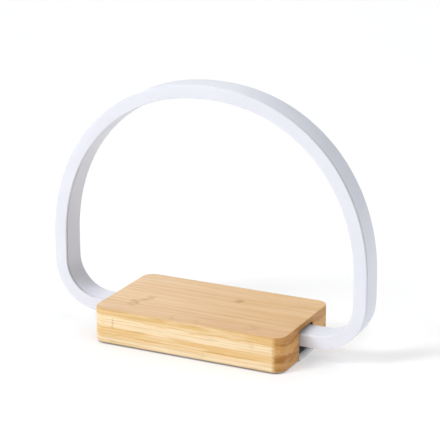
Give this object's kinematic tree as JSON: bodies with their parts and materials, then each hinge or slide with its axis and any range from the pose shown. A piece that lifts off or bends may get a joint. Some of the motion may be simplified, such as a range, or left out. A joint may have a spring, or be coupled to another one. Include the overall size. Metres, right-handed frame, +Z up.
{
  "type": "wireless charging pad with lamp arch",
  "caption": "Bamboo block that charges a phone laid on top, with a D-shaped light tube entering both ends and standing over it.",
  "frame": {"origin": "on the surface it stands on, under the middle of the block and of the arch", "axes": "+Z up, +X along the block and across the arch, -Y towards the front, where the lamp's light face looks"},
  "size_m": [0.2476, 0.085, 0.191],
  "materials": {
    "bamboo": "pressed bamboo strips, oiled matt",
    "white_plastic": "satin moulded",
    "opal_plastic": "opal light diffuser, satin",
    "grey_plastic": "fine moulded texture",
    "black_plastic": "moulded",
    "rubber": "soft matt",
    "steel": "zinc plated",
    "copper": "enamelled copper wire",
    "ferrite": "sintered, matt",
    "board_green": "solder mask on glass fibre",
    "strip_white": "white film strip",
    "red_wire": "wire insulation",
    "black_wire": "wire insulation"
  },
  "bodies": {
    "pad": {"bamboo_housing": "bamboo", "bottom_cover": "grey_plastic", "foot_front_left": "rubber", "foot_rear_left": "rubber", "foot_front_right": "rubber", "foot_rear_right": "rubber", "cover_screw_front_left": "steel", "cover_screw_rear_left": "steel", "cover_screw_front_right": "steel", "cover_screw_rear_right": "steel", "lamp_housing": "white_plastic", "lamp_diffuser": "opal_plastic", "led_strip": "strip_white", "arch_clamp_left": "black_plastic", "arch_clamp_right": "black_plastic", "clamp_screw_front_left": "steel", "clamp_screw_rear_left": "steel", "clamp_screw_front_right": "steel", "clamp_screw_rear_right": "steel", "charging_coil": "copper", "ferrite_shield": "ferrite", "coil_tray": "black_plastic", "control_board": "board_green", "board_screw_front_left": "steel", "board_screw_rear_left": "steel", "board_screw_front_right": "steel", "board_screw_rear_right": "steel", "charger_chip": "black_plastic", "resonant_capacitors": "grey_plastic", "power_inductor": "ferrite", "lamp_driver_chip": "black_plastic", "usb_socket_shell": "steel", "usb_socket_insert": "black_plastic", "lamp_switch": "black_plastic", "coil_lead_outer": "copper", "coil_lead_inner": "copper", "lamp_lead_positive": "red_wire", "lamp_lead_negative": "black_wire"},
    "lamp_button": {"lamp_button": "white_plastic", "lamp_switch_plunger": "grey_plastic"}
  },
  "joints": [
    {"name": "lamp_button_press", "type": "slide", "parent": "pad", "child": "lamp_button", "axis": [0, -1, 0], "range_m": [0, 0.0007], "stiffness_N_per_m": 2000, "springref_m": -0.0003}
  ]
}
